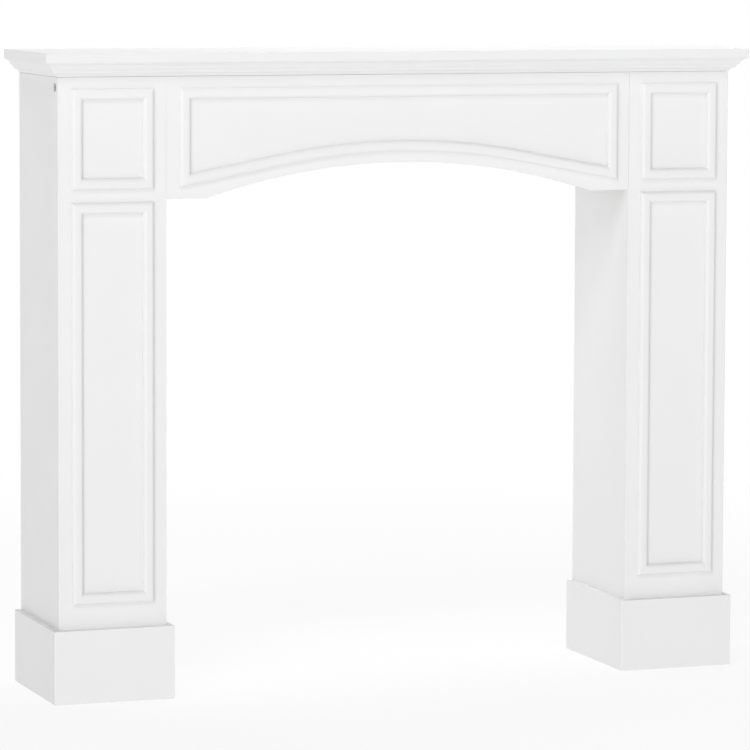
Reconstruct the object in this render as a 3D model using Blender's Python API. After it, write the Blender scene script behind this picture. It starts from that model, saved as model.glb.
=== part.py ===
"""Fireplace mantelpiece: a shelf with a moulded cornice, an arched header and two panelled box legs on plinths.

All of it is fibreboard cut from sheet and painted. Metres, +Z up. The origin is on the floor, at the centre
of the shelf's outline. The room is on the -Y side and the wall on the +Y side. The left leg is at -X.
"""
import math

import bmesh
import bpy
from mathutils import Vector

# Overall sizes, measured over the shelf
WIDTH = 1.200
DEPTH = 0.250
HEIGHT = 1.028

# Boards
BOARD = 0.015  # thickness of the shelf, header and leg boards
PLINTH_BOARD = 0.010  # thickness of the boards wrapped round each foot
JOINT = 0.0003  # clearance between two pieces that touch

# Crown moulding under the shelf: a fillet, then three rounded members, each set back by a quirk
SHELF_LIP = 0.0025  # shelf's edge past the crown
CROWN_FILLET = 0.0015
CROWN_QUIRK = 0.0008
CROWN_UPPER_HEIGHT = 0.0082
CROWN_UPPER_RUN = 0.0077
CROWN_MIDDLE_HEIGHT = 0.0066
CROWN_MIDDLE_RUN = 0.0044
CROWN_LOWER_HEIGHT = 0.0047
CROWN_LOWER_RUN = 0.0010
CROWN_FOOT = 0.0075  # thickness along the lower edge
CROWN_SWELL = 0.13  # rise of a member's curve as a share of its chord

# Legs and header
LEG_WIDTH = 0.1775
PLINTH_HEIGHT = 0.1175
HEADER_DROP = 0.195  # crown's lower edge to the header's lower edge beside the legs
ARCH_SHOULDER = 0.0675  # flat length of the header's lower edge beside each leg
ARCH_RISE = 0.052

# Panel mouldings: frames of mitred strips on the faces of the legs and the header
MOULDING_WIDTH = 0.018
MOULDING_CREST = 0.008  # flat middle of a strip, between its rounded shoulders
MOULDING_PROJECTION = 0.007
MOULDING_LIP = 0.0015  # square edge of a strip, before it rounds over
SIDE_MARGIN = 0.0213  # bare face beside a frame
FRAME_SPACING = 0.0198  # crown to frame, and upper frame to lower frame
UPPER_FRAME_HEIGHT = 0.159
LOWER_FRAME_CLEARANCE = 0.0395  # plinth to the lower frame
ARCH_MARGIN = 0.0175  # arch to the header's frame, at the middle
TAIL_SPAN = 0.175  # straight end of the header frame's lower strip, measured along the shelf

# Cam fastener in the outer side of each leg
CAM_BORE_DIAMETER = 0.014
CAM_BORE_WEB = 0.003  # board left behind the blind bore
CAM_FROM_FRONT = 0.0175  # bore's centre to the front face of the leg
CAM_FROM_TOP = 0.0385  # bore's centre to the top of the leg
CAM_CLEARANCE = 0.00035  # radial, between the cam and its bore
CAM_RECESS = 0.0022  # cam's face below the board's face
CAM_SLOT_WIDTH = 0.0018
CAM_SLOT_DEPTH = 0.0020
CAM_RIM = 0.0021  # metal left beyond the ends of the slots

# How finely curves are cut into flats
ARCH_STEPS = 32
CROWN_STEPS = 4
SHOULDER_STEPS = 4
CAM_SIDES = 32

# Colour, roughness and metallic value of each finish
WHITE_PAINT = ((0.86, 0.86, 0.86, 1.0), 0.45, 0.0)
ZINC = ((0.42, 0.42, 0.43, 1.0), 0.40, 1.0)

# Levels and planes that follow from the sizes
CROWN_MEMBERS = (
    (CROWN_UPPER_HEIGHT, CROWN_UPPER_RUN),
    (CROWN_MIDDLE_HEIGHT, CROWN_MIDDLE_RUN),
    (CROWN_LOWER_HEIGHT, CROWN_LOWER_RUN),
)
CROWN_HEIGHT = CROWN_FILLET + sum(height for height, run in CROWN_MEMBERS)
CROWN_PROJECTION = CROWN_FOOT + sum(run + CROWN_QUIRK for height, run in CROWN_MEMBERS)
OVERHANG = CROWN_PROJECTION + SHELF_LIP
WALL_Y = DEPTH / 2
SHELF_FRONT_Y = -DEPTH / 2
FACE_Y = SHELF_FRONT_Y + OVERHANG
SHELF_UNDERSIDE = HEIGHT - BOARD
BOARD_TOP = SHELF_UNDERSIDE - JOINT
CROWN_BOTTOM = SHELF_UNDERSIDE - CROWN_HEIGHT
HEADER_BOTTOM = CROWN_BOTTOM - HEADER_DROP
LEG_OUTER = WIDTH / 2 - OVERHANG
LEG_INNER = LEG_OUTER - LEG_WIDTH
FRAME_TOP = CROWN_BOTTOM - FRAME_SPACING
ARCH_HALF_SPAN = LEG_INNER - ARCH_SHOULDER
ARCH_RADIUS = (ARCH_HALF_SPAN ** 2 + ARCH_RISE ** 2) / (2 * ARCH_RISE)
ARCH_CENTRE_Z = HEADER_BOTTOM + ARCH_RISE - ARCH_RADIUS
CAM_BORE_DEPTH = BOARD - CAM_BORE_WEB
CAM_THICKNESS = CAM_BORE_DEPTH - CAM_RECESS - JOINT
CAM_RADIUS = CAM_BORE_DIAMETER / 2 - CAM_CLEARANCE
MITRE_SHIFT = JOINT / math.sqrt(2)  # half a joint, measured along a piece cut at 45 degrees


def clear_scene():
    """Empties the scene."""
    for obj in list(bpy.data.objects):
        bpy.data.objects.remove(obj, do_unlink=True)


def surface(name, finish):
    """A plain material from (colour, roughness, metallic)."""
    colour, roughness, metallic = finish
    made = bpy.data.materials.new(name)
    made.use_nodes = True
    shader = made.node_tree.nodes["Principled BSDF"]
    shader.inputs["Base Color"].default_value = colour
    shader.inputs["Roughness"].default_value = roughness
    shader.inputs["Metallic"].default_value = metallic
    return made


def loft(name, rings):
    """A painted piece: closed rings of points, all with the same count, joined in turn and capped."""
    mesh = bmesh.new()
    rows = [[mesh.verts.new(point) for point in ring] for ring in rings]
    count = len(rows[0])
    for near, far in zip(rows, rows[1:]):
        for i in range(count):
            j = (i + 1) % count
            mesh.faces.new((near[i], near[j], far[j], far[i]))
    mesh.faces.new(rows[0])
    mesh.faces.new(rows[-1])
    bmesh.ops.recalc_face_normals(mesh, faces=mesh.faces)
    data = bpy.data.meshes.new(name)
    mesh.to_mesh(data)
    mesh.free()
    data.materials.append(surface(name + "_paint", WHITE_PAINT))
    obj = bpy.data.objects.new(name, data)
    bpy.context.scene.collection.objects.link(obj)
    return obj


def upright(name, corners, top, sign=1):
    """A piece of one plan outline from the floor to top; sign -1 mirrors it to the other side."""
    return loft(name, [[(sign * x, y, z) for x, y in corners] for z in (0, top)])


def rectangle(x_range, y_range):
    """Corners of a plan rectangle."""
    (x0, x1), (y0, y1) = x_range, y_range
    return [(x0, y0), (x1, y0), (x1, y1), (x0, y1)]


def shelf():
    """The shelf board on top."""
    outline = rectangle((-WIDTH / 2, WIDTH / 2), (SHELF_FRONT_Y, WALL_Y))
    loft("shelf_board", [[(x, y, z) for x, y in outline] for z in (SHELF_UNDERSIDE, HEIGHT)])


def swollen(start, end):
    """Points on a shallow arc from start to end that swells to the left of its direction."""
    chord = end - start
    half = chord.length / 2
    rise = CROWN_SWELL * chord.length
    radius = (half ** 2 + rise ** 2) / (2 * rise)
    along = chord.normalized()
    outward = Vector((-along.y, along.x))
    centre = (start + end) / 2 + outward * (rise - radius)
    reach = math.asin(half / radius)
    angles = [reach * (2 * k / CROWN_STEPS - 1) for k in range(CROWN_STEPS + 1)]
    return [centre + (along * math.sin(a) + outward * math.cos(a)) * radius for a in angles]


def crown_profile():
    """Crown section as (distance out from the leg's face, distance below the shelf), top first."""
    out = CROWN_PROJECTION
    below = CROWN_FILLET
    points = [Vector((JOINT, JOINT)), Vector((out, JOINT)), Vector((out, below))]
    for height, run in CROWN_MEMBERS:
        start = Vector((out - CROWN_QUIRK, below))
        end = Vector((start.x - run, below + height))
        points += swollen(start, end)
        out, below = end
    points.append(Vector((JOINT, below)))
    return points


def crown():
    """Three lengths of crown moulding, mitred at the outer front corners of the legs."""
    section = crown_profile()
    left = [(p.x - MITRE_SHIFT, FACE_Y - p.x, SHELF_UNDERSIDE - p.y) for p in section]
    loft("crown_front", [[(sign * (LEG_OUTER + x), y, z) for x, y, z in left] for sign in (-1, 1)])
    for side, sign in (("left", -1), ("right", 1)):
        mitre = [(FACE_Y - p.x + MITRE_SHIFT, p) for p in section]
        square = [(WALL_Y, p) for p in section]
        ends = [[(sign * (LEG_OUTER + p.x), y, SHELF_UNDERSIDE - p.y) for y, p in end] for end in (mitre, square)]
        loft(f"crown_{side}_end", ends)


def arch_height(x, margin=0.0):
    """Height of the header's arch at x, or of a curve that keeps a margin above it."""
    return ARCH_CENTRE_Z + math.sqrt((ARCH_RADIUS + margin) ** 2 - x ** 2)


def evenly(half_span):
    """Places along the shelf from -half_span to half_span, as many as the arch has flats."""
    return [half_span * (2 * k / ARCH_STEPS - 1) for k in range(ARCH_STEPS + 1)]


def header():
    """The header board between the legs, its lower edge cut to a shallow arch."""
    end = LEG_INNER - JOINT
    lower = [(-end, HEADER_BOTTOM)]
    lower += [(x, arch_height(x)) for x in evenly(ARCH_HALF_SPAN)]
    lower.append((end, HEADER_BOTTOM))
    back_y = FACE_Y + BOARD
    rings = [
        [(x, FACE_Y, z), (x, back_y, z), (x, back_y, BOARD_TOP), (x, FACE_Y, BOARD_TOP)]
        for x, z in lower
    ]
    loft("header_board", rings)


def cutter(obj, name):
    """Names an object and marks it as a cutter."""
    obj.name = name
    obj.hide_render = True
    obj.display_type = "WIRE"
    return obj


def cut_out(obj, tool):
    """Cuts a cutter's shape out of an object."""
    cut = obj.modifiers.new(tool.name, "BOOLEAN")
    cut.operation = "DIFFERENCE"
    cut.object = tool


def cam_cylinder(sign, radius, centre_x, length):
    """A cylinder on the axis of the cam's bore."""
    bpy.ops.mesh.primitive_cylinder_add(
        vertices=CAM_SIDES,
        radius=radius,
        depth=length,
        location=(sign * centre_x, FACE_Y + CAM_FROM_FRONT, BOARD_TOP - CAM_FROM_TOP),
        rotation=(0, math.pi / 2, 0),
    )
    return bpy.context.object


def cam_nut(side, sign):
    """The round cam in its bore, with a crossed slot in its face for a screwdriver."""
    face_x = LEG_OUTER - CAM_RECESS
    nut = cam_cylinder(sign, CAM_RADIUS, face_x - CAM_THICKNESS / 2, CAM_THICKNESS)
    nut.name = f"{side}_cam_nut"
    nut.data.materials.append(surface(nut.name + "_zinc", ZINC))
    slot_length = 2 * (CAM_RADIUS - CAM_RIM)
    for label, along_y, along_z in (
        ("flat", slot_length, CAM_SLOT_WIDTH),
        ("upright", CAM_SLOT_WIDTH, slot_length),
    ):
        bpy.ops.mesh.primitive_cube_add(size=1, location=(sign * face_x, nut.location.y, nut.location.z))
        slot = cutter(bpy.context.object, f"{side}_cam_{label}_slot")
        slot.scale = (2 * CAM_SLOT_DEPTH, along_y, along_z)
        cut_out(nut, slot)


def leg(side, sign):
    """A box leg, open at the wall: two side boards with the front board between them."""
    front_x = (LEG_INNER + BOARD + JOINT, LEG_OUTER - BOARD - JOINT)
    inner_x = (LEG_INNER, LEG_INNER + BOARD)
    outer_x = (LEG_OUTER - BOARD, LEG_OUTER)
    upright(f"{side}_leg_front", rectangle(front_x, (FACE_Y, FACE_Y + BOARD)), BOARD_TOP, sign)
    upright(f"{side}_leg_inner_side", rectangle(inner_x, (FACE_Y, WALL_Y)), BOARD_TOP, sign)
    outer = upright(f"{side}_leg_outer_side", rectangle(outer_x, (FACE_Y, WALL_Y)), BOARD_TOP, sign)
    bore = cam_cylinder(sign, CAM_BORE_DIAMETER / 2, LEG_OUTER, 2 * CAM_BORE_DEPTH)
    cut_out(outer, cutter(bore, f"{side}_cam_bore"))
    cam_nut(side, sign)


def plinth(side, sign):
    """Three boards round the foot of a leg, mitred at its two front corners."""
    near = JOINT
    far = JOINT + PLINTH_BOARD
    front = [
        (LEG_INNER - far + MITRE_SHIFT, FACE_Y - far),
        (LEG_OUTER + far - MITRE_SHIFT, FACE_Y - far),
        (LEG_OUTER + near - MITRE_SHIFT, FACE_Y - near),
        (LEG_INNER - near + MITRE_SHIFT, FACE_Y - near),
    ]
    upright(f"{side}_plinth_front", front, PLINTH_HEIGHT, sign)
    for face, edge, outward in (("inner", LEG_INNER, -1), ("outer", LEG_OUTER, 1)):
        near_x = edge + outward * near
        far_x = edge + outward * far
        corners = [
            (near_x, FACE_Y - near + MITRE_SHIFT),
            (near_x, WALL_Y),
            (far_x, WALL_Y),
            (far_x, FACE_Y - far + MITRE_SHIFT),
        ]
        upright(f"{side}_plinth_{face}_side", corners, PLINTH_HEIGHT, sign)


def moulding_profile():
    """Strip section as (distance in from the frame's outer edge, distance out from the board's face)."""
    shoulder_width = (MOULDING_WIDTH - MOULDING_CREST) / 2
    rise = MOULDING_PROJECTION - MOULDING_LIP
    shoulder = []
    for k in range(SHOULDER_STEPS + 1):
        angle = math.pi / 2 * k / SHOULDER_STEPS
        shoulder.append((shoulder_width * (1 - math.cos(angle)), MOULDING_LIP + rise * math.sin(angle)))
    far_side = [(MOULDING_WIDTH - across, out) for across, out in reversed(shoulder)]
    return [(0, JOINT)] + shoulder + far_side + [(MOULDING_WIDTH, JOINT)]


def inset(outline, i, distance):
    """Corner i of a counter-clockwise outline, moved inside so that both its edges shift by distance."""
    here = outline[i % len(outline)]
    before = (here - outline[i - 1]).normalized()
    after = (outline[(i + 1) % len(outline)] - here).normalized()
    normal = Vector((-before.y - after.y, before.x + after.x))
    return here + normal * distance / (1 + before.dot(after))


def mitre_cut(outline, i, step):
    """Shift along a strip that takes half a joint off its mitre at corner i."""
    here = outline[i % len(outline)]
    onward = (outline[(i + 1) % len(outline)] - here).normalized()
    back = (outline[i - 1] - here).normalized()
    half_angle = onward.angle(back) / 2
    return (onward if step > 0 else back) * (JOINT / 2 / math.sin(half_angle))


def frame(prefix, outline, strips):
    """Mitred strips round an outline of (x, z) points; strips names each one's first and last point."""
    section = moulding_profile()
    for label, (first, last) in strips.items():
        rings = []
        for i in range(first, last + 1):
            shift = Vector((0, 0))
            if i == first:
                shift = mitre_cut(outline, i, 1)
            if i == last:
                shift = mitre_cut(outline, i, -1)
            places = [(inset(outline, i, across) + shift, out) for across, out in section]
            rings.append([(place.x, FACE_Y - out, place.y) for place, out in places])
        loft(f"{prefix}_moulding_{label}", rings)


def leg_frames(side, sign):
    """The small upper frame and the tall lower frame on a leg."""
    x0, x1 = sorted((sign * (LEG_INNER + SIDE_MARGIN), sign * (LEG_OUTER - SIDE_MARGIN)))
    upper_bottom = FRAME_TOP - UPPER_FRAME_HEIGHT
    lower_top = upper_bottom - FRAME_SPACING
    lower_bottom = PLINTH_HEIGHT + LOWER_FRAME_CLEARANCE
    for level, z0, z1 in (("upper", upper_bottom, FRAME_TOP), ("lower", lower_bottom, lower_top)):
        outline = [Vector(corner) for corner in rectangle((x0, x1), (z0, z1))]
        strips = {"bottom": (0, 1), "right": (1, 2), "top": (2, 3), "left": (3, 4)}
        frame(f"{side}_{level}", outline, strips)


def header_frame():
    """The header's frame: its lower strip follows the arch in the middle and runs straight at both ends."""
    end = LEG_INNER - SIDE_MARGIN
    bend = end - TAIL_SPAN
    slope = bend / math.sqrt((ARCH_RADIUS + ARCH_MARGIN) ** 2 - bend ** 2)
    corner_z = arch_height(bend, ARCH_MARGIN) - slope * TAIL_SPAN
    arc = [(x, arch_height(x, ARCH_MARGIN)) for x in evenly(bend)]
    lower = [(-end, corner_z)] + arc + [(end, corner_z)]
    outline = [Vector(corner) for corner in lower + [(end, FRAME_TOP), (-end, FRAME_TOP)]]
    turn = len(lower) - 1
    strips = {
        "bottom": (0, turn),
        "right": (turn, turn + 1),
        "top": (turn + 1, turn + 2),
        "left": (turn + 2, turn + 3),
    }
    frame("header", outline, strips)


def build():
    """Makes every piece."""
    clear_scene()
    shelf()
    crown()
    header()
    header_frame()
    for side, sign in (("left", -1), ("right", 1)):
        leg(side, sign)
        plinth(side, sign)
        leg_frames(side, sign)


build()
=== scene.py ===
# %% [markdown]
# # A painted fireplace mantelpiece
#
# The real thing is joinery in fibreboard: a shelf with a crown moulding under it, an arched header between two
# box legs, raised mouldings that frame each face, and a plinth round each foot. All of it is sprayed with a
# satin white paint. This lesson dresses the plain solids of that mantelpiece with the shapes and finishes that
# show from a step away: rounded mouldings with true mitres, eased edges, filled joints and sprayed paint.

# %% Load the solids
import math

import bmesh
import bpy
from mathutils import Matrix, Vector


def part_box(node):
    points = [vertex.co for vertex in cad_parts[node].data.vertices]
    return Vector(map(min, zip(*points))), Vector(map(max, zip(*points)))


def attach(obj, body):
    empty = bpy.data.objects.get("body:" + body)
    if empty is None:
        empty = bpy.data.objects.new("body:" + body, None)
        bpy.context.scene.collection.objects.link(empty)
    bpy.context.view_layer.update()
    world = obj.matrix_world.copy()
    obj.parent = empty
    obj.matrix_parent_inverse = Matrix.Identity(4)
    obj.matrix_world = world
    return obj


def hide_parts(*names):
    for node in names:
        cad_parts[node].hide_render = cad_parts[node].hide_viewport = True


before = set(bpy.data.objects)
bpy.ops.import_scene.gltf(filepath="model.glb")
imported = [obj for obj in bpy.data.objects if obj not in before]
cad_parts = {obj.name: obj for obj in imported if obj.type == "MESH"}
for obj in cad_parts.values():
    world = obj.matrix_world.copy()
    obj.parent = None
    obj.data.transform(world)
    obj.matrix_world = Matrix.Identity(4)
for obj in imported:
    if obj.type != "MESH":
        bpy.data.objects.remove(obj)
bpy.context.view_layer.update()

# %% [markdown]
# ## Measures
#
# Each new piece is placed from the boxes of the solids, so nothing has to be fitted by eye. The solids stand
# 0.3 mm apart where two pieces touch. On the real mantelpiece glue, filler and paint close those joints, so the
# new pieces reach across to their neighbours.

# %% Planes that several pieces share
MM = 0.001


def low(node):
    """Lowest corner of a solid's box."""
    return Vector(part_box(node)[0])


def high(node):
    """Highest corner of a solid's box."""
    return Vector(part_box(node)[1])


FACE_Y = low("header_board").y
WALL_Y = high("shelf_board").y
SHELF_UNDERSIDE = low("shelf_board").z
LEG_INNER = low("right_leg_inner_side").x
LEG_OUTER = high("right_leg_outer_side").x
BOARD = high("shelf_board").z - SHELF_UNDERSIDE
print("front faces at y", round(FACE_Y, 4), "right leg from x", round(LEG_INNER, 4), "to", round(LEG_OUTER, 4))

# %% [markdown]
# ## The camera
#
# The photograph was taken with a long lens from the left, a little above the shelf. A camera can be placed by eye,
# or its place can be worked out. Here the lens, place and turn come from lining up the corners of the solids with
# the same corners in the picture. A small roll is left in, as in the photograph, and a small lens shift sets the
# frame without tipping the camera further down.

# %% Place the camera
FOCAL_PIXELS = 4285.69
PICTURE_WIDTH = 750
SENSOR = 36.0
AZIMUTH = math.radians(20.1547)
PITCH = math.radians(5.0935)
ROLL = math.radians(-0.2246)
LENS_SHIFT = -0.1
FARTHEST_SEEN = 200.0
CAMERA_PLACE = Vector((-2.4136, -6.55139, 1.23996))

forward = Vector(
    (math.sin(AZIMUTH) * math.cos(PITCH), math.cos(AZIMUTH) * math.cos(PITCH), -math.sin(PITCH))
)
level = Vector((math.cos(AZIMUTH), -math.sin(AZIMUTH), 0.0))
down = forward.cross(level)
right = level * math.cos(ROLL) + down * math.sin(ROLL)
down = down * math.cos(ROLL) - level * math.sin(ROLL)

lens = bpy.data.cameras.new("photo_camera")
lens.sensor_width = SENSOR
lens.lens = FOCAL_PIXELS / PICTURE_WIDTH * SENSOR
lens.shift_y = LENS_SHIFT
lens.clip_end = FARTHEST_SEEN
camera = bpy.data.objects.new("photo_camera", lens)
bpy.context.scene.collection.objects.link(camera)
turn_to_view = Matrix((right, -down, -forward)).transposed().to_4x4()
camera.matrix_world = Matrix.Translation(CAMERA_PLACE) @ turn_to_view
bpy.context.scene.camera = camera
print("lens", round(lens.lens, 2), "mm")

# %% [markdown]
# ## Tools for the work
#
# A joiner makes all of this with a few tools, and so does this lesson. An operator works on whatever is selected,
# so each helper first clears the selection and then picks its faces or edges by their place. A piece always ends
# with its object at the origin and its place in its mesh, as the solids have it, so that one pattern of paint runs
# on over every joint.


# %% Make a block, open it, pick parts of it
TOUCHING = 0.01 * MM


def settle(name):
    """Names the active object, and puts its place, turn and size into its mesh."""
    bpy.ops.object.transform_apply(location=True, rotation=True, scale=True)
    piece = bpy.context.object
    piece.name = name
    piece.data.name = name
    return piece


def block(name, lowest, highest):
    """A cube added at the size and place of a box."""
    bpy.ops.object.select_all(action="DESELECT")
    lowest, highest = Vector(lowest), Vector(highest)
    bpy.ops.mesh.primitive_cube_add(size=1, location=(lowest + highest) / 2, scale=highest - lowest)
    return settle(name)


def take(piece):
    """Makes a piece the only selected one, and the active one."""
    bpy.ops.object.select_all(action="DESELECT")
    piece.select_set(True)
    bpy.context.view_layer.objects.active = piece


def pick(piece, kind, wanted):
    """Opens a piece in edit mode and selects only the edges or faces that wanted accepts."""
    take(piece)
    bpy.ops.object.mode_set(mode="EDIT")
    bpy.ops.mesh.select_mode(type=kind)
    bpy.ops.mesh.select_all(action="DESELECT")
    mesh = bmesh.from_edit_mesh(piece.data)
    for part in mesh.edges if kind == "EDGE" else mesh.faces:
        if wanted(part):
            part.select_set(True)
    bmesh.update_edit_mesh(piece.data)


def close():
    """Leaves edit mode."""
    bpy.ops.object.mode_set(mode="OBJECT")


def lies(part, **planes):
    """True if an edge or a face lies on every plane given, such as y=FACE_Y."""
    return all(
        abs(v.co["xyz".index(axis)] - place) < TOUCHING for axis, place in planes.items() for v in part.verts
    )


# %% [markdown]
# A machined board has its sharp edges taken off with fine paper before it is sprayed, so every edge that a hand
# can reach is a small round. The bevel operator makes it where an edge is picked, and a Bevel modifier does the
# same for every sharp edge of a piece at once.


# %% Ease edges, cut ends, join shapes
SHARP_TURN = 1.2


def is_sharp(edge):
    """True for an edge where two faces meet at about a right angle."""
    return edge.calc_face_angle(0) > SHARP_TURN


def ease(piece, radius, wanted, steps=3):
    """Rounds the picked edges of a piece."""
    pick(piece, "EDGE", wanted)
    bpy.ops.mesh.bevel(offset=radius, segments=steps, affect="EDGES")
    close()


def soften(piece, radius, sharper_than=35, steps=2):
    """Rounds every edge of a piece that is sharper than an angle."""
    take(piece)
    bevel = piece.modifiers.new("soften", "BEVEL")
    bevel.width = radius
    bevel.segments = steps
    bevel.limit_method = "ANGLE"
    bevel.angle_limit = math.radians(sharper_than)
    bpy.ops.object.modifier_apply(modifier=bevel.name)


def saw(piece, point, outward):
    """Cuts a piece along a plane, drops what lies on the outward side and closes the cut."""
    pick(piece, "FACE", lambda face: True)
    bpy.ops.mesh.bisect(plane_co=point, plane_no=outward, use_fill=True, clear_outer=True)
    close()


def carve(piece, tool):
    """Takes the shape of another object out of a piece, and throws the other object away."""
    take(piece)
    cut = piece.modifiers.new("carve", "BOOLEAN")
    cut.operation = "DIFFERENCE"
    cut.solver = "EXACT"
    cut.object = tool
    bpy.ops.object.modifier_apply(modifier=cut.name)
    bpy.data.objects.remove(tool, do_unlink=True)


def copy_of(piece, name):
    """A copy of a piece, with its own mesh."""
    take(piece)
    bpy.ops.object.duplicate(linked=False)
    return settle(name)


def mirrored(piece, name):
    """A copy of a piece on the other side of the mantelpiece, turned right side out again."""
    copy_of(piece, name)
    bpy.ops.transform.resize(value=(-1, 1, 1), center_override=(0, 0, 0))
    twin = settle(name)
    pick(twin, "FACE", lambda face: True)
    bpy.ops.mesh.normals_make_consistent(inside=False)
    close()
    return twin


# %% [markdown]
# ## Nodes and colours
#
# The finishes come first, so that each piece can take its finish as soon as it is made. Colours are written as
# they are read from a colour chart and turned to linear light by one function. One function adds a node, sets it
# and links it.


# %% Add a node, read a colour
def linear(chart):
    """A colour from a chart, such as "F0F0EF", as linear red, green, blue and alpha."""
    parts = [int(chart[i : i + 2], 16) / 255 for i in (0, 2, 4)]
    return [p / 12.92 if p <= 0.04045 else ((p + 0.055) / 1.055) ** 2.4 for p in parts] + [1.0]


def add_node(tree, kind, sockets=None, links=None, **options):
    """Adds a node, with its own options, the values of its sockets, and what its inputs are linked to."""
    made = tree.nodes.new(kind)
    for name, value in options.items():
        setattr(made, name, value)
    for name, value in (sockets or {}).items():
        made.inputs[name].default_value = value
    for name, source in (links or {}).items():
        tree.links.new(source, made.inputs[name])
    return made


def new_material(name):
    """An empty material with its shader, its output and the object's own coordinates."""
    made = bpy.data.materials.new(name)
    made.use_nodes = True
    tree = made.node_tree
    tree.nodes.clear()
    shader = add_node(tree, "ShaderNodeBsdfPrincipled")
    add_node(tree, "ShaderNodeOutputMaterial", links={"Surface": shader.outputs["BSDF"]})
    place = add_node(tree, "ShaderNodeTexCoord").outputs["Object"]
    return made, tree, shader, place


# %% [markdown]
# ## Satin paint on flat board
#
# The boards are sprayed with a two-pack satin paint. To the eye it is an even, neutral white with a soft sheen. Up
# close the film has the fine ripple of a spray gun, about 2 mm from crest to crest, over a slow unevenness a hand's
# breadth wide where the coats overlap. One flat colour would look like plastic, so two noises carry these two
# scales. The ripple is two hundredths of a millimetre high here, which is more than on a good board, because less
# wouldn't show in a picture of the whole mantelpiece. On the mouldings the film is a little duller and its ripple
# finer. Hidden faces keep the dull, slightly warm primer.

# %% The paint on flat board
PAINT_IOR = 1.5
COAT_WIDTH = 90 * MM
COAT_NOISE = (0.3, 0.7)
DULLING = 0.03


def sprayed_paint(name, light, dark, roughness, ripple, ripple_height):
    """A satin white film: two close tones, a roughness that wanders a little, and the ripple of the spray."""
    made, tree, shader, place = new_material(name)
    coats = add_node(
        tree,
        "ShaderNodeTexNoise",
        {"Scale": 1 / COAT_WIDTH, "Detail": 2.0, "Roughness": 0.5},
        {"Vector": place},
    )
    tone = add_node(
        tree,
        "ShaderNodeMix",
        {6: linear(light), 7: linear(dark)},
        {0: coats.outputs["Fac"]},
        data_type="RGBA",
    )
    tree.links.new(tone.outputs[2], shader.inputs["Base Color"])
    dulling = add_node(
        tree,
        "ShaderNodeMapRange",
        {
            "From Min": COAT_NOISE[0],
            "From Max": COAT_NOISE[1],
            "To Min": roughness - DULLING,
            "To Max": roughness + DULLING,
        },
        {"Value": coats.outputs["Fac"]},
    )
    tree.links.new(dulling.outputs["Result"], shader.inputs["Roughness"])
    peel = add_node(
        tree,
        "ShaderNodeTexNoise",
        {"Scale": 1 / ripple, "Detail": 2.0, "Roughness": 0.45},
        {"Vector": place},
    )
    bump = add_node(
        tree,
        "ShaderNodeBump",
        {"Strength": 1.0, "Distance": ripple_height},
        {"Height": peel.outputs["Fac"]},
    )
    tree.links.new(bump.outputs["Normal"], shader.inputs["Normal"])
    shader.inputs["IOR"].default_value = PAINT_IOR
    return made


BOARD_PAINT = sprayed_paint("satin_paint_on_board", "EBEBEB", "E9E9E9", 0.42, 2.2 * MM, 0.02 * MM)
PROFILE_PAINT = sprayed_paint("satin_paint_on_profile", "EBEBEB", "E9E9E9", 0.46, 1.1 * MM, 0.02 * MM)
PRIMER = sprayed_paint("primer_on_fibreboard", "E6E5E2", "DEDCD8", 0.75, 0.9 * MM, 0.05 * MM)
print("paints:", [m.name for m in (BOARD_PAINT, PROFILE_PAINT, PRIMER)])

# %% [markdown]
# ## Zinc
#
# The cam that draws each joint tight is die-cast zinc: a dull, slightly blue grey metal with the fine grain of its
# mould and a skin that reflects only vaguely. One fine noise serves for the tone, the sheen and the pits, because
# all three come from the same grain.

# %% Die-cast zinc
ZINC, tree, shader, place = new_material("die_cast_zinc")
shader.inputs["Metallic"].default_value = 1.0
GRAIN = 0.35 * MM
PIT_DEPTH = 0.03 * MM
grain = add_node(tree, "ShaderNodeTexNoise", {"Scale": 1 / GRAIN, "Detail": 3.0}, {"Vector": place})
tone = add_node(
    tree,
    "ShaderNodeMix",
    {6: linear("A9AAAD"), 7: linear("8C8D91")},
    {0: grain.outputs["Fac"]},
    data_type="RGBA",
)
tree.links.new(tone.outputs[2], shader.inputs["Base Color"])
dulling = add_node(
    tree,
    "ShaderNodeMapRange",
    {"To Min": 0.32, "To Max": 0.52},
    {"Value": grain.outputs["Fac"]},
)
tree.links.new(dulling.outputs["Result"], shader.inputs["Roughness"])
pits = add_node(tree, "ShaderNodeBump", {"Distance": PIT_DEPTH}, {"Height": grain.outputs["Fac"]})
tree.links.new(pits.outputs["Normal"], shader.inputs["Normal"])
print("metal:", ZINC.name)

# %% [markdown]
# ## Handing a piece over
#
# A finished piece gets smooth shading with its flat faces kept flat, its materials and its place on the body that
# carries it, and the solid that it stands for is hidden. Faces that nobody sees once the mantelpiece stands at
# its wall take the primer. Every piece needs the same steps, so one function does them.


# %% Finish a piece
SMOOTH_BELOW = math.radians(40)
FACING = 0.9


def faces_the_wall(centre, normal):
    """True for a face that is turned to the wall, which nobody sees."""
    return normal.y > FACING


def hand_over(piece, node, finish=BOARD_PAINT, hidden=None):
    """Shades and paints a piece, and hides the solid it stands for; hidden accepts the faces that stay primed."""
    take(piece)
    bpy.ops.object.shade_smooth_by_angle(angle=SMOOTH_BELOW)
    weigh = piece.modifiers.new("flat_faces", "WEIGHTED_NORMAL")
    weigh.keep_sharp = True
    bpy.ops.object.modifier_apply(modifier=weigh.name)
    piece.data.materials.clear()
    piece.data.materials.append(finish)
    if hidden:
        piece.data.materials.append(PRIMER)
        for face in piece.data.polygons:
            if hidden(face.center, face.normal):
                face.material_index = 1
    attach(piece, "root")
    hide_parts(node)
    print(piece.name, "stands for", node, "with", len(piece.data.polygons), "faces")


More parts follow.
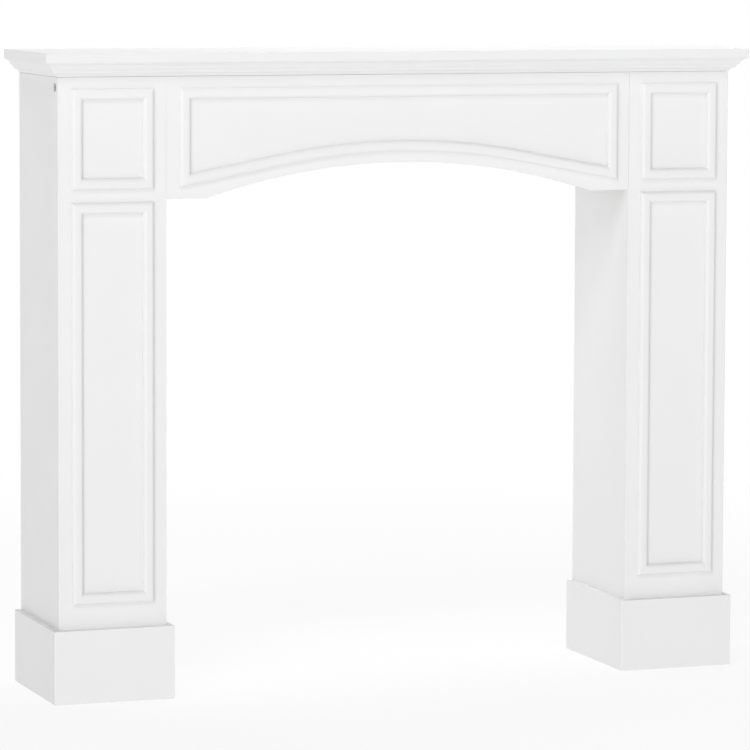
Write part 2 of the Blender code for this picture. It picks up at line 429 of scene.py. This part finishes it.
# %% [markdown]
# ## The shelf
#
# One board, 15 mm thick, whose front and side edges show as a thin band above the crown. It could be drawn out
# together with the crown, but on the real piece it is a board of its own, so it starts as a block. Each edge is
# eased by a little under a millimetre, as sandpaper leaves it, so that it catches a fine line of light.

# %% Make the shelf
EASED = 0.9 * MM
shelf = block("painted_shelf", low("shelf_board"), high("shelf_board"))
ease(shelf, EASED, lambda edge: True)
hand_over(shelf, "shelf_board", hidden=faces_the_wall)

# %% [markdown]
# ## The crown moulding
#
# Under the shelf runs a moulding of three hollowed members, each set back from the one above by a narrow quirk. It
# goes round the front and both ends, with a mitre at each front corner. A curve could be swept round the corners,
# but then the mitres would come without a joint. So the section is drawn as one flat face, which is drawn out to a
# length and then cut at 45 degrees, as on a mitre saw. Each member is listed by its height and its run.

# %% Draw the crown's section
CROWN_OUT = FACE_Y - low("crown_front").y
CROWN_FILLET = 1.5 * MM
CROWN_QUIRK = 0.8 * MM
CROWN_MEMBERS = ((8.2 * MM, 7.7 * MM), (6.6 * MM, 4.4 * MM), (6.0 * MM, 8.0 * MM))
CROWN_HOLLOW = 0.13
CROWN_STEPS = 8


def hollow_arc(start, end):
    """Points on a shallow arc from start to end that is hollowed towards the shelf and the wall."""
    chord = end - start
    half = chord.length / 2
    rise = CROWN_HOLLOW * chord.length
    radius = (half**2 + rise**2) / (2 * rise)
    along = chord.normalized()
    outward = Vector((-along.y, along.x))
    centre = (start + end) / 2 + outward * (rise - radius)
    reach = math.asin(half / radius)
    angles = [reach * (2 * k / CROWN_STEPS - 1) for k in range(CROWN_STEPS + 1)]
    return [centre + (along * math.sin(a) + outward * math.cos(a)) * radius for a in angles]


def crown_section():
    """The section as (distance out from the leg's face, distance below the shelf), the top first."""
    out, below = CROWN_OUT, CROWN_FILLET
    points = [Vector((0, 0)), Vector((out, 0)), Vector((out, below))]
    for height, run in CROWN_MEMBERS:
        start = Vector((out - CROWN_QUIRK, below))
        end = Vector((start.x - run, below + height))
        points += hollow_arc(start, end)
        out, below = end
    return points + [Vector((0, below))]


section = crown_section()
print("crown section:", len(section), "points,", round(section[-1].y / MM, 2), "mm high")

# %% [markdown]
# The flat face starts as a circle filled with one face, because that gives as many corners as the drawing has.
# Its corners are then moved onto the drawing, and the face is extruded along the shelf.


# %% Draw out a length of moulding
def drawn_out(name, places, length):
    """A bar whose section is a list of places, drawn out by a vector."""
    bpy.ops.object.select_all(action="DESELECT")
    bpy.ops.mesh.primitive_circle_add(vertices=len(places), radius=1.0, fill_type="NGON")
    bar = settle(name)
    for corner, place in zip(bar.data.vertices, places):
        corner.co = place
    pick(bar, "FACE", lambda face: True)
    bpy.ops.mesh.extrude_region_move(TRANSFORM_OT_translate={"value": length})
    bpy.ops.mesh.select_all(action="SELECT")
    bpy.ops.mesh.normals_make_consistent(inside=False)
    close()
    return bar


SPARE = 0.05
CROWN_SOFT = 0.15 * MM
half_front = LEG_OUTER + CROWN_OUT + SPARE
front = drawn_out(
    "painted_crown_front",
    [(-half_front, FACE_Y - p.x, SHELF_UNDERSIDE - p.y) for p in section],
    (2 * half_front, 0, 0),
)
soften(front, CROWN_SOFT)
saw(front, (-LEG_OUTER, FACE_Y, 0), (-1, 1, 0))
saw(front, (LEG_OUTER, FACE_Y, 0), (1, 1, 0))
hand_over(front, "crown_front", PROFILE_PAINT)

# %% [markdown]
# The two end lengths run from the front corner to the wall. They are mirror images, so the left one is made and
# the right one is its mirrored copy.

# %% The crown's two ends
left_end = drawn_out(
    "painted_crown_left_end",
    [(-LEG_OUTER - p.x, FACE_Y - CROWN_OUT - SPARE, SHELF_UNDERSIDE - p.y) for p in section],
    (0, WALL_Y - FACE_Y + CROWN_OUT + SPARE, 0),
)
soften(left_end, CROWN_SOFT)
saw(left_end, (-LEG_OUTER, FACE_Y, 0), (1, -1, 0))
right_end = mirrored(left_end, "painted_crown_right_end")
for end, node in ((left_end, "crown_left_end"), (right_end, "crown_right_end")):
    hand_over(end, node, PROFILE_PAINT, hidden=faces_the_wall)

# %% [markdown]
# The shelf and its crown are one unit that is set down on the legs and the header. The joint along the crown's
# foot isn't filled, so it shows as a fine dark line all the way round. A painted line would stay dark from every
# side, so a real gap is better: a thin saw cut into each board, just under the crown. The cutter is a flat block
# that reaches far beyond the board.

# %% The open joint under the crown
JOINT_TOP = SHELF_UNDERSIDE - section[-1].y
JOINT_HEIGHT = 0.45 * MM
JOINT_DEPTH = 4 * MM
BEYOND = 1.0


def open_joint(board, round_the_end=False):
    """Cuts the joint into a board's face, and into its outer side too where it is an end."""
    lowest = Vector((-BEYOND, FACE_Y - BEYOND, JOINT_TOP - JOINT_HEIGHT))
    carve(board, block("joint_cutter", lowest, (BEYOND, FACE_Y + JOINT_DEPTH, JOINT_TOP)))
    if round_the_end:
        carve(board, block("joint_cutter", lowest, (JOINT_DEPTH - LEG_OUTER, BEYOND, JOINT_TOP)))


print("joint's top at", round(JOINT_TOP, 4), "m")

# %% [markdown]
# ## The arched header
#
# The header is one board between the legs. Its lower edge runs level for a hand's breadth beside each leg and
# rises between them in a shallow arch, 52 mm high, that is part of a circle more than a metre in radius. A router
# on a long arm cuts it in the workshop. Here a cylinder of that radius cuts the arch out of a plain board, which
# keeps the curve true.

# %% Cut the header's arch
HEADER_BOTTOM = low("header_board").z
ARCH_SHOULDER = 67.5 * MM
ARCH_RISE = 52 * MM
ARCH_STEPS = 720
arch_half_span = LEG_INNER - ARCH_SHOULDER
ARCH_RADIUS = (arch_half_span**2 + ARCH_RISE**2) / (2 * ARCH_RISE)
ARCH_CENTRE_Z = HEADER_BOTTOM + ARCH_RISE - ARCH_RADIUS
header = block(
    "painted_header",
    (-LEG_INNER, FACE_Y, HEADER_BOTTOM),
    (LEG_INNER, FACE_Y + BOARD, SHELF_UNDERSIDE),
)
bpy.ops.object.select_all(action="DESELECT")
bpy.ops.mesh.primitive_cylinder_add(
    vertices=ARCH_STEPS,
    radius=ARCH_RADIUS,
    depth=4 * BOARD,
    location=(0, FACE_Y, ARCH_CENTRE_Z),
    rotation=(math.pi / 2, 0, 0),
)
carve(header, settle("arch_cutter"))
print("arch radius", round(ARCH_RADIUS, 4), "m, header has", len(header.data.polygons), "faces")

# %% [markdown]
# The lower edges are eased as on the other boards. The board's two ends butt against the legs. The joint at its
# right end stands very slightly open and shows as a fine line in the photograph, so that end keeps the solid's
# own gap and a finer arris. The left end is filled. The joint under the crown crosses the whole board.

# %% Ease the header and open its right joint
FINE_ARRIS = 0.3 * MM
RIGHT_GAP = LEG_INNER - high("header_board").x
saw(header, (LEG_INNER - RIGHT_GAP, 0, 0), (1, 0, 0))
ease(
    header,
    EASED,
    lambda edge: is_sharp(edge)
    and all(v.co.z < HEADER_BOTTOM + ARCH_RISE + MM for v in edge.verts)
    and (lies(edge, y=FACE_Y) or lies(edge, y=FACE_Y + BOARD)),
)
ease(header, FINE_ARRIS, lambda edge: lies(edge, y=FACE_Y, x=LEG_INNER - RIGHT_GAP))
open_joint(header)
hand_over(header, "header_board", hidden=faces_the_wall)

# %% [markdown]
# ## The box legs
#
# Each leg is a box of three boards, open towards the wall: two sides that reach back to it, and the front board
# between them. One block would look the same from the front, but not from behind, so each board is its own block.
# The front joints are filled and sprayed over, so they don't show, and the corners are eased, the outer one most.
# The left leg is made first and the right one is its mirror image.

# %% Make the boards of the legs
CORNER = 1.2 * MM
INNER_CORNER = 0.4 * MM
BEHIND_FACE = 5 * MM
hidden_in_leg = {
    "front": lambda centre, normal: faces_the_wall(centre, normal) or abs(normal.x) > FACING,
    "inner_side": lambda centre, normal: faces_the_wall(centre, normal)
    or (normal.x < -FACING and centre.x < -LEG_INNER),
    "outer_side": lambda centre, normal: faces_the_wall(centre, normal)
    or (normal.x > FACING and centre.x > BEHIND_FACE - LEG_OUTER),
}
leg_extents = {
    "front": (BOARD - LEG_OUTER, -LEG_INNER - BOARD, FACE_Y + BOARD),
    "inner_side": (-LEG_INNER - BOARD, -LEG_INNER, WALL_Y),
    "outer_side": (-LEG_OUTER, BOARD - LEG_OUTER, WALL_Y),
}
leg_boards = {
    name: block("painted_left_leg_" + name, (x0, FACE_Y, 0), (x1, back, SHELF_UNDERSIDE))
    for name, (x0, x1, back) in leg_extents.items()
}
ease(leg_boards["inner_side"], INNER_CORNER, lambda edge: lies(edge, x=-LEG_INNER, y=FACE_Y))
ease(leg_boards["outer_side"], CORNER, lambda edge: lies(edge, x=-LEG_OUTER, y=FACE_Y))
for name in ("inner_side", "outer_side"):
    ease(
        leg_boards[name],
        FINE_ARRIS,
        lambda edge: lies(edge, y=WALL_Y) and edge.verts[0].co.x == edge.verts[1].co.x,
    )
for name, board in leg_boards.items():
    open_joint(board, round_the_end=name == "outer_side")
print("left leg:", [piece.name for piece in leg_boards.values()])

# %% [markdown]
# High on the outer side, near the front, a 14 mm blind hole lets a screwdriver reach the cam nut that pulls the
# boards together. A dark disc would pass from far off, but a hole that a cylinder cuts has a real depth. A drill
# leaves a crisp rim, so the rim is eased only a little.

# %% Drill the cam's hole
cam_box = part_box("left_cam_nut")
CAM_CENTRE = (Vector(cam_box[0]) + Vector(cam_box[1])) / 2
BORE_RADIUS = 7 * MM
BORE_DEPTH = 12 * MM
ROUND_STEPS = 64
BORE_RIM = 0.25 * MM
ON_THE_RIM = 0.1 * MM
bpy.ops.object.select_all(action="DESELECT")
bpy.ops.mesh.primitive_cylinder_add(
    vertices=ROUND_STEPS,
    radius=BORE_RADIUS,
    depth=2 * BORE_DEPTH,
    location=(-LEG_OUTER, CAM_CENTRE.y, CAM_CENTRE.z),
    rotation=(0, math.pi / 2, 0),
)
carve(leg_boards["outer_side"], settle("cam_bore_cutter"))


def on_bore_rim(edge):
    """True for the edges of the hole's rim on the board's face."""
    return lies(edge, x=-LEG_OUTER) and all(
        abs(math.hypot(v.co.y - CAM_CENTRE.y, v.co.z - CAM_CENTRE.z) - BORE_RADIUS) < ON_THE_RIM
        for v in edge.verts
    )


ease(leg_boards["outer_side"], BORE_RIM, on_bore_rim, steps=2)
print("hole at", [round(v, 4) for v in CAM_CENTRE])

# %% [markdown]
# The right leg has its hole on its own outer side, so it isn't a copy moved across but a mirror image. The test for
# hidden faces is written for the left leg. For the right one it is asked about each face's mirror image.

# %% Hand over both legs
ACROSS = Vector((-1, 1, 1))
for name, board in leg_boards.items():
    twin = mirrored(board, board.name.replace("left", "right"))
    hand_over(board, "left_leg_" + name, hidden=hidden_in_leg[name])
    hand_over(
        twin,
        "right_leg_" + name,
        hidden=lambda centre, normal, left=hidden_in_leg[name]: left(centre * ACROSS, normal * ACROSS),
    )

# %% [markdown]
# ## The cam nuts
#
# A cam nut is a squat zinc drum. Its face has a raised rim round a slightly sunken disc, and a crossed slot for a
# screwdriver. It could be left as a plain disc at this size, but it is what the eye finds in the hole from near by.
# The disc is an inset of the drum's end, pushed in, and two small blocks cut the slots.

# %% Model one cam nut and mirror it
CAM_PLAY = 0.35 * MM
CAM_RIM = 0.9 * MM
CAM_SUNK = 0.35 * MM
CAM_SOFT = 0.12 * MM
SLOT_LENGTH, SLOT_WIDTH, SLOT_DEPTH = 9.1 * MM, 1.8 * MM, 2.0 * MM
CAM_RADIUS = BORE_RADIUS - CAM_PLAY
CAM_FACE_X = cam_box[0].x
CAM_LENGTH = cam_box[1].x - cam_box[0].x
bpy.ops.object.select_all(action="DESELECT")
bpy.ops.mesh.primitive_cylinder_add(
    vertices=ROUND_STEPS,
    radius=CAM_RADIUS,
    depth=CAM_LENGTH,
    location=CAM_CENTRE,
    rotation=(0, math.pi / 2, 0),
)
cam = settle("zinc_left_cam_nut")
pick(cam, "FACE", lambda face: lies(face, x=CAM_FACE_X))
bpy.ops.mesh.inset(thickness=CAM_RIM)
bpy.ops.mesh.extrude_region_move(TRANSFORM_OT_translate={"value": (CAM_SUNK, 0, 0)})
close()
for along_y, along_z in ((SLOT_LENGTH, SLOT_WIDTH), (SLOT_WIDTH, SLOT_LENGTH)):
    slot_size = Vector((SLOT_DEPTH, along_y, along_z))
    middle = Vector((CAM_FACE_X + SLOT_DEPTH / 2, CAM_CENTRE.y, CAM_CENTRE.z))
    carve(cam, block("slot_cutter", middle - slot_size / 2, middle + slot_size / 2))
soften(cam, CAM_SOFT)
right_cam = mirrored(cam, "zinc_right_cam_nut")
hand_over(cam, "left_cam_nut", ZINC)
hand_over(right_cam, "right_cam_nut", ZINC)

# %% [markdown]
# ## The plinths
#
# Three boards wrap each foot, 117 mm high, mitred at the two front corners. Each could be sawn and eased by itself,
# but then the rounding would stop at every mitre. They are made as one collar, so that the rounding of its corners
# and top edge runs on over the mitres.

# %% Make the collar of the left foot
PLINTH = high("left_plinth_front").z
PLINTH_OUT = FACE_Y - low("left_plinth_front").y
PLINTH_EASED = 1.0 * MM
collar = block(
    "plinth_collar",
    (-LEG_OUTER - PLINTH_OUT, FACE_Y - PLINTH_OUT, 0),
    (-LEG_INNER + PLINTH_OUT, WALL_Y, PLINTH),
)
carve(collar, block("foot_cutter", (-LEG_OUTER, FACE_Y, -BEYOND), (-LEG_INNER, WALL_Y + BEYOND, BEYOND)))
plinth_faces = {"x0": -LEG_OUTER - PLINTH_OUT, "x1": -LEG_INNER + PLINTH_OUT, "y0": FACE_Y - PLINTH_OUT}


def on_collar_outside(edge):
    """True for the collar's outer top and bottom edges and its two front corners."""
    x0, x1, y0 = plinth_faces["x0"], plinth_faces["x1"], plinth_faces["y0"]
    outside = lies(edge, x=x0) or lies(edge, x=x1) or lies(edge, y=y0)
    return outside and is_sharp(edge) and not lies(edge, y=WALL_Y)


ease(collar, PLINTH_EASED, on_collar_outside)
print("collar has", len(collar.data.polygons), "faces")

# %% [markdown]
# Each board is a copy of the whole collar with the rest sawn off. The front board is cut along both mitres. A side
# board is cut along its own mitre, and a cut down the middle of the foot drops the other side.

# %% Saw the collar into boards
middle_x = -(LEG_OUTER + LEG_INNER) / 2
plinth_cuts = {
    "front": (((-LEG_OUTER, FACE_Y, 0), (-1, 1, 0)), ((-LEG_INNER, FACE_Y, 0), (1, 1, 0))),
    "outer_side": (((-LEG_OUTER, FACE_Y, 0), (1, -1, 0)), ((middle_x, 0, 0), (1, 0, 0))),
    "inner_side": (((-LEG_INNER, FACE_Y, 0), (-1, -1, 0)), ((middle_x, 0, 0), (-1, 0, 0))),
}
for name, cuts in plinth_cuts.items():
    board = copy_of(collar, "painted_left_plinth_" + name)
    for point, outward in cuts:
        saw(board, point, outward)
    twin = mirrored(board, "painted_right_plinth_" + name)
    for piece, side in ((board, "left"), (twin, "right")):
        hand_over(
            piece,
            f"{side}_plinth_{name}",
            hidden=lambda centre, normal: faces_the_wall(centre, normal) or normal.z < -FACING,
        )
bpy.data.objects.remove(collar, do_unlink=True)

# %% [markdown]
# ## The panel mouldings
#
# Each raised frame is cut from one kind of moulding, 18 mm wide and 7 mm thick, with a flat crest between two
# rounded shoulders. A frame could be one ring, but the mitres are joints of four strips. So one stick of moulding
# is made, lying along the shelf with its outer edge at height 0, and its two front edges are rounded.

# %% Make one stick of moulding
MOULDING_WIDTH = 18 * MM
MOULDING_CREST = 6 * MM
SHOULDER_STEPS = 8
MOULDING_OUT = FACE_Y - low("header_moulding_top").y
STICK = 0.9
stick = block("moulding_stick", (-STICK / 2, FACE_Y - MOULDING_OUT, 0), (STICK / 2, FACE_Y, MOULDING_WIDTH))


def on_stick_front(edge):
    """True for the two long front edges of the stick."""
    return lies(edge, y=FACE_Y - MOULDING_OUT, z=0) or lies(edge, y=FACE_Y - MOULDING_OUT, z=MOULDING_WIDTH)


ease(stick, (MOULDING_WIDTH - MOULDING_CREST) / 2, on_stick_front, steps=SHOULDER_STEPS)
print("stick has", len(stick.data.polygons), "faces")

# %% [markdown]
# A frame is a list of its outer corners, taken anticlockwise. Every strip is a copy of the stick that is turned to
# its direction, moved between its two corners and sawn along the mitre at each of them. A mitre halves the angle
# of its corner, whatever that angle is, so the same saw cuts serve where the frame follows the arch.


# %% Cut a strip from the stick
def turn(piece, angle, centre):
    """Turns a piece as seen from the front, anticlockwise, about a point (x, z)."""
    take(piece)
    bpy.ops.transform.rotate(value=angle, orient_axis="Y", center_override=(centre[0], 0, centre[1]))
    return settle(piece.name)


def corner_plane(here, before, after):
    """Direction of the mitre at a corner of a frame, from its outer to its inner point."""
    onward = (after - here).normalized()
    back = (before - here).normalized()
    return (onward + back).normalized()


def strip(name, outline, i):
    """The strip from corner i of an anticlockwise outline to the next corner, with a mitre at each end."""
    count = len(outline)
    start, end = outline[i], outline[(i + 1) % count]
    along = (end - start).normalized()
    piece = turn(copy_of(stick, name), math.atan2(along.y, along.x), (0, 0))
    middle = (start + end) / 2
    bpy.ops.transform.translate(value=(middle.x, 0, middle.y))
    piece = settle(name)
    for here, before, after, away in (
        (start, outline[i - 1], end, -along),
        (end, start, outline[(i + 2) % count], along),
    ):
        mitre = corner_plane(here, before, after)
        outward = Vector((mitre.y, -mitre.x))
        if outward.dot(away) < 0:
            outward = -outward
        saw(piece, (here.x, 0, here.y), (outward.x, 0, outward.y))
    return piece


# %% [markdown]
# The frames of the two legs are the same, so the left leg's strips are cut and the right leg's are their copies,
# moved across.

# %% The frames of the legs
LEG_STEP = low("right_upper_moulding_left").x - low("left_upper_moulding_left").x
for level_name in ("upper", "lower"):
    prefix = f"left_{level_name}_moulding_"
    x0, x1 = low(prefix + "left").x, high(prefix + "right").x
    z0, z1 = low(prefix + "bottom").z, high(prefix + "top").z
    outline = [Vector(corner) for corner in ((x0, z0), (x1, z0), (x1, z1), (x0, z1))]
    for i, side_name in enumerate(("bottom", "right", "top", "left")):
        piece = strip("painted_" + prefix + side_name, outline, i)
        twin = copy_of(piece, piece.name.replace("left_", "right_", 1))
        bpy.ops.transform.translate(value=(LEG_STEP, 0, 0))
        twin = settle(twin.name)
        hand_over(piece, prefix + side_name, PROFILE_PAINT)
        hand_over(twin, prefix.replace("left_", "right_", 1) + side_name, PROFILE_PAINT)

# %% [markdown]
# The header's frame is straight on three sides. Its lower strip keeps the arch's curve in the middle and runs out
# straight at both ends. First its bends and corners are worked out, and the three straight strips are cut.

# %% The frame of the header
ARCH_MARGIN = 17.5 * MM
TAIL_SPAN = 175 * MM
x1 = high("header_moulding_right").x
top_z = high("header_moulding_top").z
bend_x = x1 - TAIL_SPAN
strip_radius = ARCH_RADIUS + ARCH_MARGIN
bend_angle = math.asin(bend_x / strip_radius)
bend_z = ARCH_CENTRE_Z + strip_radius * math.cos(bend_angle)
corner_z = bend_z - TAIL_SPAN * math.tan(bend_angle)
left_bend, right_bend = Vector((-bend_x, bend_z)), Vector((bend_x, bend_z))
left_corner, right_corner = Vector((-x1, corner_z)), Vector((x1, corner_z))
outline = [left_corner, left_bend, right_bend, right_corner, Vector((x1, top_z)), Vector((-x1, top_z))]
for i, side_name in ((3, "right"), (4, "top"), (5, "left")):
    piece = strip("painted_header_moulding_" + side_name, outline, i)
    hand_over(piece, "header_moulding_" + side_name, PROFILE_PAINT)
print("bend at", round(bend_x, 4), round(bend_z, 4), "corner at", round(corner_z, 4))

# %% [markdown]
# The lower strip is one bent length on the real header. It starts as the left straight part, the end face of which
# is then spun round the arch's centre and drawn out again on the other side. Spinning keeps the section square to
# the curve, which a bent stick wouldn't.

# %% Spin the header's lower strip
SPIN_STEPS = 40
lower = copy_of(stick, "painted_header_moulding_bottom")
bpy.ops.transform.translate(value=(-bend_x - STICK / 2, 0, bend_z))
lower = settle(lower.name)
lower = turn(lower, bend_angle, left_bend)
tangent = Vector((math.cos(bend_angle), 0, math.sin(bend_angle)))
pick(lower, "FACE", lambda face: face.normal.dot(tangent) > FACING)
bpy.ops.mesh.spin(
    steps=SPIN_STEPS,
    angle=2 * bend_angle,
    center=(0, 0, ARCH_CENTRE_Z),
    axis=(0, -1, 0),
)
tail = TAIL_SPAN / math.cos(bend_angle) + SPARE
bpy.ops.mesh.extrude_region_move(TRANSFORM_OT_translate={"value": (tail * tangent.x, 0, -tail * tangent.z)})
bpy.ops.mesh.select_all(action="SELECT")
bpy.ops.mesh.remove_doubles(threshold=TOUCHING)
bpy.ops.mesh.normals_make_consistent(inside=False)
close()
for corner, bend, sideways in ((left_corner, left_bend, -1), (right_corner, right_bend, 1)):
    mitre = corner_plane(corner, corner + Vector((0, 1)), bend)
    outward = Vector((mitre.y, -mitre.x)) * (1 if mitre.y * sideways > 0 else -1)
    saw(lower, (corner.x, 0, corner.y), (outward.x, 0, outward.y))
hand_over(lower, "header_moulding_bottom", PROFILE_PAINT)
bpy.data.objects.remove(stick, do_unlink=True)

# %% [markdown]
# ## Floor and light
#
# The photograph shows a white ground all round. In a studio that comes from a sheet of white acrylic that is lit
# from below: it glows by itself, and still takes soft, pale shadows. A painted floor would need so much light that
# the mantelpiece burns out. A couple of metres out the glow takes over, so that the floor meets the white
# background unseen.

# %% The floor
GROUND = 1.0
GLOW_BEGINS, GLOW_ALONE = 0.7, 2.6
GLOW_NEAR = 0.84
FLOOR_SIZE = 60
bpy.ops.object.select_all(action="DESELECT")
bpy.ops.mesh.primitive_plane_add(size=FLOOR_SIZE, location=(0, 0, 0))
floor = settle("studio_floor")
acrylic, tree, shader, place = new_material("lit_white_acrylic")
shader.inputs["Base Color"].default_value = linear("F7F7F7")
shader.inputs["Roughness"].default_value = 0.9
glow = add_node(tree, "ShaderNodeEmission", {"Color": (1, 1, 1, 1), "Strength": GROUND})
distance = add_node(tree, "ShaderNodeVectorMath", None, {0: place}, operation="LENGTH")
share = add_node(
    tree,
    "ShaderNodeMapRange",
    {"From Min": GLOW_BEGINS, "From Max": GLOW_ALONE, "To Min": GLOW_NEAR, "To Max": 1.0},
    {"Value": distance.outputs["Value"]},
    interpolation_type="SMOOTHSTEP",
)
blend = add_node(
    tree,
    "ShaderNodeMixShader",
    None,
    {0: share.outputs["Result"], 1: shader.outputs["BSDF"], 2: glow.outputs["Emission"]},
)
output = next(n for n in tree.nodes if n.type == "OUTPUT_MATERIAL")
tree.links.new(blend.outputs["Shader"], output.inputs["Surface"])
floor.data.materials.append(acrylic)
print("floor:", floor.name)

# %% [markdown]
# The light is what a studio for furniture has. White walls stand all round, lit only as high as the floor line
# needs, under a dark ceiling. The key light is a bank of large soft boxes far off in front to the left, at three
# heights, so that it lights the whole width evenly: it makes the left slope of each moulding bright and leaves a
# fine dark line at its right and under it. Two weaker boxes fill in from the right, and one over the back lights
# the shelf. One strong lamp would be simpler, but its shadows would be too hard. The lamps themselves stay out of
# the picture.

# %% World and lamps
CEILING = 0.07
WALL_FADES = (0.08, 0.2)
world = bpy.data.worlds.new("studio")
world.use_nodes = True
bpy.context.scene.world = world
tree = world.node_tree
tree.nodes.clear()
direction = add_node(tree, "ShaderNodeTexCoord").outputs["Generated"]
height = add_node(tree, "ShaderNodeSeparateXYZ", None, {"Vector": direction}).outputs["Z"]
dim = add_node(
    tree,
    "ShaderNodeMapRange",
    {"From Min": WALL_FADES[0], "From Max": WALL_FADES[1], "To Min": GROUND, "To Max": CEILING},
    {"Value": height},
    interpolation_type="SMOOTHSTEP",
)
walls = add_node(tree, "ShaderNodeBackground", {"Color": (1, 1, 1, 1)}, {"Strength": dim.outputs["Result"]})
add_node(tree, "ShaderNodeOutputWorld", links={"Surface": walls.outputs["Background"]})


def soft_box(name, place, aim, size, watts):
    """A rectangular area lamp that faces a point and doesn't show itself."""
    lamp = bpy.data.lights.new(name, "AREA")
    lamp.shape = "RECTANGLE"
    lamp.size, lamp.size_y = size
    lamp.energy = watts
    stand = bpy.data.objects.new(name, lamp)
    bpy.context.scene.collection.objects.link(stand)
    facing = (Vector(aim) - Vector(place)).to_track_quat("-Z", "Y")
    stand.matrix_world = Matrix.Translation(place) @ facing.to_matrix().to_4x4()
    stand.visible_camera = False


LAMP_DISTANCE = 12.0
LAMP_SIZE = (4.1, 2.7)
LAMP_AIM = Vector((0, 0, 0.5))


def far_box(name, bearing, rise, watts):
    """A soft box some metres off, at a bearing left of the front and an angle above the floor, in degrees."""
    turn_left, lift = math.radians(bearing), math.radians(rise)
    away = Vector(
        (-math.sin(turn_left) * math.cos(lift), -math.cos(turn_left) * math.cos(lift), math.sin(lift))
    )
    soft_box(name, LAMP_AIM + away * LAMP_DISTANCE, LAMP_AIM, LAMP_SIZE, watts)


far_box("key_low", 30, 10, 106)
far_box("key_low_left", 45, 10, 134)
far_box("key_middle", 45, 30, 194)
far_box("key_high", 30, 50, 365)
far_box("fill_right", -30, 10, 126)
far_box("fill_far_right", -70, 20, 12)
SHELF_BOX_PLACE = (0.35, 0.8, 2.6)
SHELF_BOX_AIM = (0.2, 0, 1.0)
SHELF_BOX_SIZE = (2.6, 1.2)
soft_box("shelf_box", SHELF_BOX_PLACE, SHELF_BOX_AIM, SHELF_BOX_SIZE, 49)
bpy.context.scene.view_settings.view_transform = "Standard"
